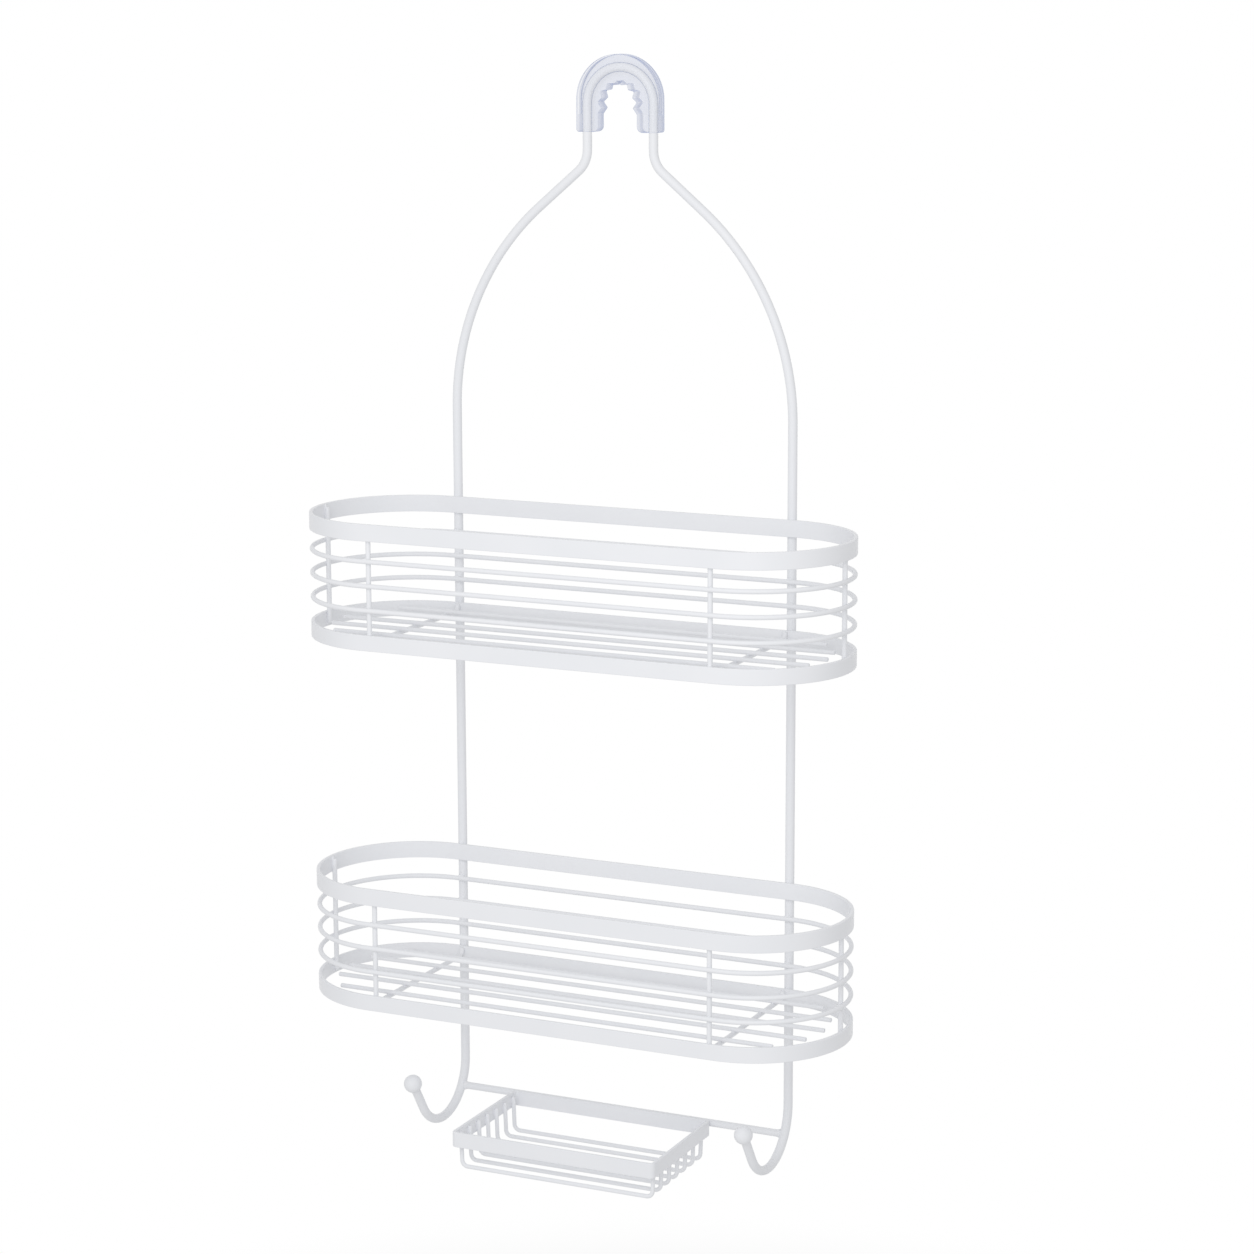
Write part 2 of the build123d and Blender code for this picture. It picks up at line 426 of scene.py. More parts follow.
@dataclass
class WeldRow:
    """The weld beads of one sub-assembly, each a copy of its kind, joined into one piece."""

    name: str
    sides: int = 12
    patterns: dict[Bead, bpy.types.Mesh] = field(default_factory=dict, init=False)
    beads: list[Piece] = field(default_factory=list, init=False)

    def pattern(self, bead: Bead) -> bpy.types.Mesh:
        """Model one bead at the origin.

        Args:
            bead: Kind of bead.

        Returns:
            Its mesh, one wire radius to the unit.
        """
        clear_selection()
        bpy.ops.mesh.primitive_circle_add(vertices=self.sides, radius=1.0, location=(0.0, 0.0, 0.0))
        bpy.ops.object.mode_set(mode="EDIT")
        bpy.ops.transform.translate(value=UP * bead.value[0][0])
        height, width, length = bead.value[0][0], 1.0, 1.0
        for next_height, next_width, next_length in bead.value:
            if next_height > height:
                draw_on(UP * (next_height - height))
            change = (next_width / width, next_length / length, 1.0)
            bpy.ops.transform.resize(value=change, center_override=UP * next_height)
            height, width, length = next_height, next_width, next_length
        fill_openings()
        turn_outwards()
        blank = bpy.context.object
        apply_modifier(blank, "SUBSURF", levels=1, render_levels=1)
        bpy.ops.object.shade_smooth()
        mesh = blank.data
        bpy.data.objects.remove(blank)
        return mesh

    def add(self, bead: Bead, at: Vector, normal: Vector, across: Vector, scale: Place) -> None:
        """Lay a copy of a bead.

        Args:
            bead: Kind of bead.
            at: Where the two pieces touch.
            normal: Direction from the first piece to the second.
            across: Direction of the bead's width.
            scale: Size of the bead's unit along its width, length and height.
        """
        if bead not in self.patterns:
            self.patterns[bead] = self.pattern(bead)
        turn = Matrix((across, normal.cross(across), normal)).transposed().to_4x4()
        move = Matrix.Translation(at) @ turn @ Matrix.Diagonal(scale).to_4x4()
        self.beads.append(placed_copy(self.patterns[bead], self.name, move))

    def crossing(self, at: Vector, normal: Vector, across: Vector, radius: float) -> None:
        """Lay a bead where two wires cross, sized by the radius of the thinner one."""
        self.add(Bead.CROSSING, at, normal, across, (radius,) * 3)

    def seam(
        self, at: Vector, normal: Vector, across: Vector, radius: float, length: float
    ) -> None:
        """Lay a long bead where a wire of the given radius lies along a flat face."""
        self.add(Bead.SEAM, at, normal, across, (radius, length / 2.0, radius))

    def upright(self, at: Vector, normal: Vector, radius: float, low: float, high: float) -> None:
        """Lay a long bead along an upright wire on a flat face, from a low to a high end."""
        self.seam(at + UP * (low + high) / 2.0, normal, UP.cross(normal), radius, high - low)

    def join(self) -> Piece:
        """Join the beads into one piece.

        Returns:
            The joined piece.
        """
        clear_selection()
        for bead in self.beads:
            bead.select_set(True)
        bpy.context.view_layer.objects.active = self.beads[0]
        bpy.ops.object.join()
        for mesh in self.patterns.values():
            bpy.data.meshes.remove(mesh)
        return name_piece(self.name)


class ShaderSheet:
    """The nodes of a material or a world, with short calls to add and join them."""

    noise_range = (0.3, 0.7)
    colour_inputs = slice(6, 8)
    colour_output = 2

    def __init__(self, owner: bpy.types.Material | bpy.types.World) -> None:
        """Start an empty sheet.

        Args:
            owner: The material or world.
        """
        owner.use_nodes = True
        self.tree = owner.node_tree
        self.tree.nodes.clear()

    def feed(self, inputs: Iterable[Socket], values: Iterable[Value]) -> None:
        """Join outputs to inputs, or give the inputs plain values.

        Args:
            inputs: The inputs.
            values: An output or a plain value for each.
        """
        for target, value in zip(inputs, values):
            if isinstance(value, Socket):
                self.tree.links.new(value, target)
            else:
                target.default_value = value

    def add(self, kind: str, *values: Value, **others: Value | str) -> bpy.types.Node:
        """Add a node.

        Args:
            kind: Blender's name for the node, without ShaderNode.
            *values: What its first inputs get.
            **others: Its settings, in lower case, and what other inputs get, with underscores for
                the blanks in their names.

        Returns:
            The node.
        """
        node = self.tree.nodes.new(f"ShaderNode{kind}")
        self.feed(node.inputs, values)
        for name, value in others.items():
            if name.islower():
                setattr(node, name, value)
            else:
                self.feed([node.inputs[name.replace("_", " ")]], (value,))
        return node

    def noise(self, place: Socket, scale: float, detail: float) -> Socket:
        """Add a noise that follows a place, by its features to the metre and its finer layers."""
        return self.add("TexNoise", Vector=place, Scale=scale, Detail=detail).outputs["Fac"]

    def spread(
        self, value: Socket, source: Span = noise_range, result: tuple[Value, Value] = (0.0, 1.0)
    ) -> Socket:
        """Spread a value's low and high, by default those of a noise, over another low and high."""
        return self.add("MapRange", value, *source, *result).outputs["Result"]

    def calculate(self, operation: str, first: Socket, second: Value) -> Socket:
        """Work out a number from two others, by Blender's name for the sum."""
        return self.add("Math", first, second, operation=operation).outputs["Value"]

    def blend(self, share: Socket, first: Value, second: Value) -> Socket:
        """Blend two colours.

        Args:
            share: Share of the second colour.
            first: Colour where the share is 0.
            second: Colour where the share is 1.

        Returns:
            The blended colour.
        """
        node = self.add("Mix", share, data_type="RGBA")
        self.feed(node.inputs[self.colour_inputs], (first, second))
        return node.outputs[self.colour_output]


@dataclass(frozen=True)
class PowderCoat:
    """Satin cool white powder coat with a faint orange peel and soft drifts of tone and gloss."""

    slot: str = "powder_coat"
    light_tone: Colour = (0.872, 0.88, 0.908, 1.0)
    dark_tone: Colour = (0.848, 0.86, 0.89, 1.0)
    drift: Noise = (26.0, 3.0)
    gloss: Noise = (60.0, 1.0)
    roughness: Span = (0.28, 0.34)
    specular: float = 0.12
    ior: float = 1.5
    peel: Noise = (700.0, 1.0)
    peel_height: float = 0.01 * MM
    peel_strength: float = 0.12

    def material(self) -> bpy.types.Material:
        """Make the coat's material.

        Returns:
            The material.
        """
        coat = bpy.data.materials.new(f"{self.slot}_finish")
        sheet = ShaderSheet(coat)
        place = sheet.add("TexCoord").outputs["Object"]
        drift = sheet.spread(sheet.noise(place, *self.drift))
        gloss = sheet.noise(place, *self.gloss)
        grain = sheet.noise(place, *self.peel)
        peel = sheet.add(
            "Bump", Strength=self.peel_strength, Distance=self.peel_height, Height=grain
        )
        shader = sheet.add(
            "BsdfPrincipled",
            Base_Color=sheet.blend(drift, self.dark_tone, self.light_tone),
            Roughness=sheet.spread(gloss, result=self.roughness),
            IOR=self.ior,
            Specular_IOR_Level=self.specular,
            Normal=peel.outputs["Normal"],
        )
        sheet.add("OutputMaterial", Surface=shader.outputs["BSDF"])
        return coat


@dataclass(frozen=True)
class ClearPlastic:
    """Clear soft plastic with a pale blue tint that deepens where its faces turn edge on."""

    slot: str = "clear_sleeve"
    pale_tone: Colour = (0.56, 0.6, 0.74, 1.0)
    cloudy_tone: Colour = (0.49, 0.54, 0.7, 1.0)
    edge_tone: Colour = (0.12, 0.22, 0.6, 1.0)
    cloud: Noise = (90.0, 2.0)
    edge_range: Span = (0.4, 1.0)
    cover: Span = (0.1, 0.42)
    cover_depths: Span = (-1.5 * MM, 1.5 * MM)
    edge_cover: float = 0.95
    roughness: float = 0.12
    ior: float = 1.45

    def material(self) -> bpy.types.Material:
        """Make the plastic's material, which lets all light through to the wire inside.

        Returns:
            The material.
        """
        plastic = bpy.data.materials.new(f"{self.slot}_finish")
        sheet = ShaderSheet(plastic)
        place = sheet.add("TexCoord").outputs["Object"]
        cloud = sheet.spread(sheet.noise(place, *self.cloud))
        body = sheet.blend(cloud, self.pale_tone, self.cloudy_tone)
        turned = sheet.add("LayerWeight").outputs["Facing"]
        edge = sheet.spread(turned, self.edge_range)
        depth = sheet.add("SeparateXYZ", Vector=place).outputs["Y"]
        veil = sheet.spread(depth, self.cover_depths, self.cover)
        cover = sheet.spread(turned, self.edge_range, (veil, self.edge_cover))
        rays = sheet.add("LightPath").outputs
        lit = sheet.calculate("MAXIMUM", rays["Is Shadow Ray"], rays["Is Diffuse Ray"])
        shown = sheet.calculate("SUBTRACT", cover, lit)
        shader = sheet.add(
            "BsdfPrincipled",
            Base_Color=sheet.blend(edge, body, self.edge_tone),
            Roughness=self.roughness,
            IOR=self.ior,
            Alpha=sheet.calculate("MAXIMUM", shown, 0.0),
        )
        sheet.add("OutputMaterial", Surface=shader.outputs["BSDF"])
        return plastic


@dataclass
class SubAssembly:
    """Pieces made together with the same finish, and the sizes that several of them go by."""

    frame_wire_d: float = 5.0 * MM
    frame_wire_sides: int = 28
    hoop_radius: float = 19.4 * MM
    upright_x: float = 100.0 * MM
    band_edge: float = 0.4 * MM
    weld_sink: float = 0.15 * MM
    end_round: float = 0.25  # share of a wire's diameter
    pieces: list[tuple[Piece, str]] = field(default_factory=list, init=False)

    def keep(self, piece: Piece, node: str = "") -> Piece:
        """Take in a finished piece, in place of the solid that it stands for.

        Args:
            piece: The finished piece.
            node: Solid that it replaces, if there is one.

        Returns:
            The piece.
        """
        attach(piece, ROOT)
        if node:
            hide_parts(node)
        self.pieces.append((piece, node))
        return piece

    def keep_copy(self, piece: Piece, node: str, shift: Vector) -> None:
        """Take in a copy of a finished piece, moved by a shift, for another solid like it."""
        self.keep(placed_copy(piece.data, f"{node}_coated", Matrix.Translation(shift)), node)

    def run_wire(
        self, node: str, diameter: float, points: list[Vector], bend: float = 0.0
    ) -> Piece:
        """Run a wire with rounded ends from point to point, in place of a solid.

        Args:
            node: The solid.
            diameter: Diameter of the wire.
            points: Its start, its corners and its end.
            bend: Radius of the bend at each corner.

        Returns:
            The wire.
        """
        start, *others = points
        section = RoundSection(diameter / 2.0)
        bender = WireBender(f"{node}_coated", section, start, others[0] - start)
        bender.corners(others, bend).cap_ends(self.end_round * diameter)
        return self.keep(bender.finish(), node)

    def bend_frame(
        self,
        node: str,
        section: RoundSection | StripSection,
        centre: Vector,
        outer: Vector,
        corner: float,
    ) -> Piece:
        """Bend a round wire or a strip into a closed level frame, in place of a solid.

        Args:
            node: The solid.
            section: Section of the wire or strip.
            centre: Middle of the frame.
            outer: Half the frame's outer length, as X, and half its outer depth, as Y.
            corner: Outer radius of its corners.

        Returns:
            The closed frame.
        """
        half_sizes = [half - section.half for half in outer.xy]
        bend = corner - section.half
        start = centre + Vector((bend - half_sizes[0], half_sizes[1], 0.0))
        bender = WireBender(f"{node}_coated", section, start, RIGHT)
        for half in half_sizes * 2:
            bender.straight(2.0 * (half - bend)).bend(bend, QUARTER, -UP)
        return self.keep(bender.close_loop().finish(), node)

    def dress(self, slot: str, finish: bpy.types.Material) -> None:
        """Give every piece its finish.

        Args:
            slot: The record's slot that the finish stands for.
            finish: Material of the pieces.
        """
        for piece, _ in self.pieces:
            piece.data.materials.clear()
            piece.data.materials.append(finish)
            log.info("%s: %d faces, %s", piece.name, len(piece.data.polygons), slot)


@dataclass
class HangingFrame(SubAssembly):
    """The long bent wire from hook to hook, over the hoop, and the balls on its ends."""

    neck_drop: float = 24.3 * MM
    neck_bend: float = 15.0 * MM
    bow_turn: float = math.radians(50.1)
    bow_radius: float = 144.5 * MM
    basket_to_hook: float = 57.9 * MM
    hook_radius: float = 27.9 * MM
    hook_turn: float = math.radians(146.7)
    hook_rise: float = 21.2 * MM
    ball_d: float = 10.1 * MM
    ball_segments: int = 40
    ball_rings: int = 28
    ball_mouth: float = math.radians(32.0)
    ball_neck: tuple[tuple[float, float], ...] = (
        (4.42 * MM, 2.6 * MM), (4.65 * MM, 2.54 * MM), (5.0 * MM, 2.47 * MM),
    )

    def __post_init__(self) -> None:
        """Work out where the hooks turn up, and the direction and end of the left one."""
        self.hook_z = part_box("lower_bottom_band")[0].z - self.basket_to_hook
        self.rise = Vector((0.0, -math.sin(self.hook_turn), -math.cos(self.hook_turn)))
        y = self.hook_radius * (math.cos(self.hook_turn) - 1.0)
        z = self.hook_z - self.hook_radius * math.sin(self.hook_turn)
        self.left_ball = Vector((-self.upright_x, y, z)) + self.rise * self.hook_rise

    def build(self) -> None:
        """Bend the wire, then put a ball on each end."""
        self.keep(self.bend_wire(), "frame_wire")
        ball = self.keep(self.turn_ball(), "hook_ball_left")
        self.keep_copy(ball, "hook_ball_right", RIGHT * 2.0 * self.upright_x)

    def bend_wire(self) -> Piece:
        """Bend the whole wire, from the left ball to the right one.

        Returns:
            The wire, capped inside the balls.
        """
        bends = self.bow_radius + self.neck_bend
        bow_side = self.upright_x - self.hoop_radius
        slope = (bow_side - bends * (1.0 - math.cos(self.bow_turn))) / math.sin(self.bow_turn)
        bow_height = bends * math.sin(self.bow_turn) + slope * math.cos(self.bow_turn)
        upright = -self.neck_drop - bow_height - self.hook_z
        section = RoundSection(self.frame_wire_d / 2.0, self.frame_wire_sides)
        bender = WireBender("frame_wire_coated", section, self.left_ball, -self.rise)
        for run, radius, turn, axis in (
            (self.hook_rise, self.hook_radius, self.hook_turn, RIGHT),
            (upright, self.bow_radius, self.bow_turn, BACK),
            (slope, self.neck_bend, self.bow_turn, -BACK),
            (self.neck_drop, self.hoop_radius, math.pi, BACK),
            (self.neck_drop, self.neck_bend, self.bow_turn, -BACK),
            (slope, self.bow_radius, self.bow_turn, BACK),
            (upright, self.hook_radius, self.hook_turn, -RIGHT),
        ):
            bender.straight(run).bend(radius, turn, axis)
        return bender.straight(self.hook_rise).cap_ends().finish()

    def turn_ball(self) -> Piece:
        """Shape the left ball, with the small neck by which the coat runs onto the wire.

        Returns:
            The ball.
        """
        clear_selection()
        middle, radius = self.left_ball, self.ball_d / 2.0
        bpy.ops.mesh.primitive_uv_sphere_add(
            segments=self.ball_segments, ring_count=self.ball_rings, radius=radius,
            location=middle, rotation=facing(self.rise),
        )
        ball = name_piece("hook_ball_left_coated")
        bpy.ops.object.transform_apply(location=True, rotation=True, scale=True)
        mouth = radius * math.cos(self.ball_mouth)
        select_parts(ball, "VERT", lambda vertex: (vertex.co - middle).dot(-self.rise) > mouth)
        bpy.ops.mesh.delete(type="VERT")
        select_rims()
        bpy.ops.object.mode_set(mode="OBJECT")
        rim = next(vertex.co - middle for vertex in ball.data.vertices if vertex.select)
        reach = rim.dot(-self.rise)
        width = (rim + self.rise * reach).length
        bpy.ops.object.mode_set(mode="EDIT")
        for next_reach, next_width in self.ball_neck:
            draw_on(self.rise * (reach - next_reach))
            change = (next_width / width,) * 3
            bpy.ops.transform.resize(value=change, center_override=middle - self.rise * next_reach)
            reach, width = next_reach, next_width
        fill_openings()
        turn_outwards()
        bpy.ops.object.shade_smooth_by_angle(angle=SMOOTH_ANGLE)
        return ball


@dataclass
class Basket(SubAssembly):
    """An oblong basket: flat bands, round side rings, end posts, braces and floor wires."""

    name: str = "upper"
    band_thickness: float = 2.0 * MM
    ring_count: int = 3
    ring_d: float = 2.6 * MM
    post_d: float = 2.7 * MM
    post_gap: float = 1.8 * MM
    brace_d: float = 2.7 * MM
    brace_bend: float = 3.4 * MM
    brace_tip: float = 0.8 * MM
    floor_count: int = 5
    floor_d: float = 2.4 * MM

    def __post_init__(self) -> None:
        """Read the basket's place from its bands, rings and left brace."""
        self.top_low, self.top_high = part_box(self.node("top_band"))
        self.bottom_low, self.bottom_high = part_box(self.node("bottom_band"))
        self.middle_y = middle_of(self.node("top_band")).y
        self.outer = (self.top_high - self.top_low) / 2.0
        self.inner = self.outer - LEVEL * self.band_thickness
        press = self.ring_d - self.band_thickness + self.weld_sink
        self.ring_weld = self.inner + LEVEL * (self.weld_sink - press / 2.0)
        self.post_x = self.inner.x - self.post_d / 2.0 + self.weld_sink
        self.rings = [self.node(f"side_ring_{number}") for number in range(1, self.ring_count + 1)]
        self.ring_z = [middle_of(ring).z for ring in self.rings]
        self.brace_x = -middle_of(self.node("brace_wire_left")).x
        self.brace_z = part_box(self.node("brace_wire_left"))[0].z + self.brace_d / 2.0
        self.welds = WeldRow(self.node("welds_coated"))

    def node(self, piece: str) -> str:
        """Full name of one of the basket's pieces."""
        return f"{self.name}_{piece}"

    def build(self) -> None:
        """Make every wire and band, and the welds between them."""
        self.bend_bands()
        self.bend_rings()
        self.cut_posts()
        self.bend_braces()
        self.weld_braces()
        self.cut_floor()
        self.weld_ends()
        self.keep(self.welds.join())

    def build_like(self, model: "Basket") -> None:
        """Copy another basket's pieces to this basket's place.

        Args:
            model: The basket that was modelled.
        """
        move = Matrix.Translation(self.top_high - model.top_high)
        for piece, node in model.pieces:
            name, twin = (word.replace(model.name, self.name, 1) for word in (piece.name, node))
            self.keep(placed_copy(piece.data, name, move), twin)

    def bend_bands(self) -> None:
        """Bend the two flat bands."""
        for node in (self.node("top_band"), self.node("bottom_band")):
            low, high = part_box(node)
            section = StripSection(self.band_thickness / 2.0, high.z - low.z, self.band_edge)
            centre = Vector((0.0, self.middle_y, (low.z + high.z) / 2.0))
            self.bend_frame(node, section, centre, self.outer, self.outer.y)

    def bend_rings(self) -> None:
        """Bend a side ring, its outer side in line with the bands' outer faces, and copy it."""
        first, *others = self.rings
        section = RoundSection(self.ring_d / 2.0)
        centre = Vector((0.0, self.middle_y, self.ring_z[0]))
        ring = self.bend_frame(first, section, centre, self.outer, self.outer.y)
        for node, z in zip(others, self.ring_z[1:]):
            self.keep_copy(ring, node, UP * (z - self.ring_z[0]))

    def cut_posts(self) -> None:
        """Cut the left end post and copy it to the right."""
        left, right = (self.node(f"end_post_{side.label}") for side in Side)
        low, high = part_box(left)
        ends = [Vector((-self.post_x, self.middle_y, z)) for z in (low.z, high.z)]
        post = self.run_wire(left, self.post_d, ends)
        self.keep_copy(post, right, RIGHT * 2.0 * self.post_x)

    def bend_braces(self) -> None:
        """Bend the left brace, with its front leg, floor run and short rear tip, and copy it."""
        reach = self.inner.y - self.brace_d / 2.0 + self.weld_sink
        left, right = (self.node(f"brace_wire_{side.label}") for side in Side)
        front, rear = self.middle_y - reach, self.middle_y + reach
        top_z, tip_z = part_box(left)[1].z, self.brace_z + self.brace_bend + self.brace_tip
        route = ((front, top_z), (front, self.brace_z), (rear, self.brace_z), (rear, tip_z))
        points = [Vector((-self.brace_x, y, z)) for y, z in route]
        brace = self.run_wire(left, self.brace_d, points, self.brace_bend)
        self.keep_copy(brace, right, RIGHT * 2.0 * self.brace_x)

    def cut_floor(self) -> None:
        """Cut the front floor wires, copy them to the rear and weld all to the braces."""
        half = self.floor_d / 2.0
        brace_top = self.brace_z + self.brace_d / 2.0
        wires: dict[int, Piece] = {}
        for number in range(self.floor_count, 0, -1):
            node = self.node(f"floor_wire_{number}")
            low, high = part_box(node)
            y = (low.y + high.y) / 2.0
            twin = self.floor_count + 1 - number
            if twin in wires:
                self.keep_copy(wires[twin], node, BACK * 2.0 * (y - self.middle_y))
            else:
                ends = [Vector((x, y, high.z - half)) for x in (low.x, high.x)]
                wires[number] = self.run_wire(node, self.floor_d, ends)
            for side in Side:
                at = Vector((side.value * self.brace_x, y, brace_top))
                self.welds.crossing(at, UP, BACK, half)

    def weld_braces(self) -> None:
        """Weld the braces to the rings and to both bands."""
        half, bend = self.brace_d / 2.0, self.brace_z + self.brace_bend
        for side in Side:
            middle = Vector((side.value * self.brace_x, self.middle_y, 0.0))
            front, rear = middle - BACK * self.inner.y, middle + BACK * self.inner.y
            for z in self.ring_z:
                self.welds.crossing(middle - BACK * self.ring_weld.y + UP * z, BACK, RIGHT, half)
            self.welds.upright(front, BACK, half, self.top_low.z, self.top_high.z - self.post_gap)
            self.welds.upright(front, BACK, half, bend, self.bottom_high.z)
            self.welds.upright(rear, -BACK, half, bend - half, bend + half)

    def weld_ends(self) -> None:
        """Weld the bands and rings to the end posts and to the caddy's uprights."""
        spans = ((self.top_low.z, self.top_high.z), (self.bottom_low.z, self.bottom_high.z))
        post, upright = self.post_d / 2.0, self.frame_wire_d / 2.0
        for side in Side:
            inwards = -RIGHT * side.value
            end = Vector((side.value * self.inner.x, self.middle_y, 0.0))
            ring_end = Vector((side.value * self.ring_weld.x, self.middle_y, 0.0))
            back = Vector((side.value * self.upright_x, self.middle_y + self.outer.y, 0.0))
            for low, high in spans:
                self.welds.upright(end, inwards, post, low, high)
                self.welds.upright(back, BACK, upright, low, high)
            for z in self.ring_z:
                self.welds.crossing(ring_end + UP * z, inwards, BACK, post)
                self.welds.crossing(back + UP * z, BACK, RIGHT, upright)


@dataclass
class SoapDish(SubAssembly):
    """The crossbar between the hooks, and the wire dish that it carries."""

    bar_d: float = 4.0 * MM
    band_thickness: float = 1.8 * MM
    corner: float = 3.0 * MM
    wire_count: int = 7
    wire_d: float = 2.3 * MM
    wire_bend: float = 3.5 * MM
    wire_draft: float = math.radians(2.0)
    bar_welds: tuple[float, ...] = (-45.0 * MM, 0.0, 45.0 * MM)
    bar_weld_length: float = 9.0 * MM

    def __post_init__(self) -> None:
        """Read the dish's place from its band."""
        self.low, self.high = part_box("dish_band")
        self.centre = middle_of("dish_band")
        self.outer = (self.high - self.low) / 2.0
        self.welds = WeldRow("dish_welds_coated")

    def build(self) -> None:
        """Make the bar, the band and the wires, then the welds between them."""
        self.cut_bar()
        self.bend_band()
        self.bend_wires()
        self.keep(self.welds.join())

    def cut_bar(self) -> None:
        """Cut the bar and weld it to the hooks and to the dish."""
        half = self.bar_d / 2.0
        bar = middle_of("dish_crossbar")
        start = Vector((-self.upright_x, bar.y, bar.z))
        bender = WireBender("dish_crossbar_coated", RoundSection(half), start, RIGHT)
        self.keep(bender.straight(2.0 * self.upright_x).cap_ends().finish(), "dish_crossbar")
        for side in Side:
            at = Vector((side.value * self.upright_x, bar.y, bar.z))
            self.welds.add(Bead.COLLAR, at, -RIGHT * side.value, BACK, (half,) * 3)
        for offset in self.bar_welds:
            at = Vector((self.centre.x + offset, self.high.y, bar.z))
            self.welds.seam(at, BACK, UP, half, self.bar_weld_length)

    def bend_band(self) -> None:
        """Bend the dish's band."""
        section = StripSection(self.band_thickness / 2.0, self.high.z - self.low.z, self.band_edge)
        self.bend_frame("dish_band", section, self.centre, self.outer, self.corner)

    def bend_wires(self) -> None:
        """Bend a U-shaped wire with legs that lean in, copy it and weld all ends in the band."""
        half = self.wire_d / 2.0
        face = self.outer.x - self.band_thickness
        nodes = [f"dish_wire_{number}" for number in range(1, self.wire_count + 1)]
        places = [middle_of(node).y for node in nodes]
        low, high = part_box(nodes[0])
        run_z = low.z + half
        top_x = face - half + self.weld_sink
        run_x = top_x - (high.z - run_z) * math.tan(self.wire_draft)
        route = ((-top_x, high.z), (-run_x, run_z), (run_x, run_z), (top_x, high.z))
        points = [Vector((self.centre.x + x, places[0], z)) for x, z in route]
        wire = self.run_wire(nodes[0], self.wire_d, points, self.wire_bend)
        for node, y in zip(nodes[1:], places[1:]):
            self.keep_copy(wire, node, BACK * (y - places[0]))
        for y in places:
            for side in Side:
                at = Vector((self.centre.x + side.value * face, y, 0.0))
                self.welds.upright(at, -RIGHT * side.value, half, self.low.z, high.z)


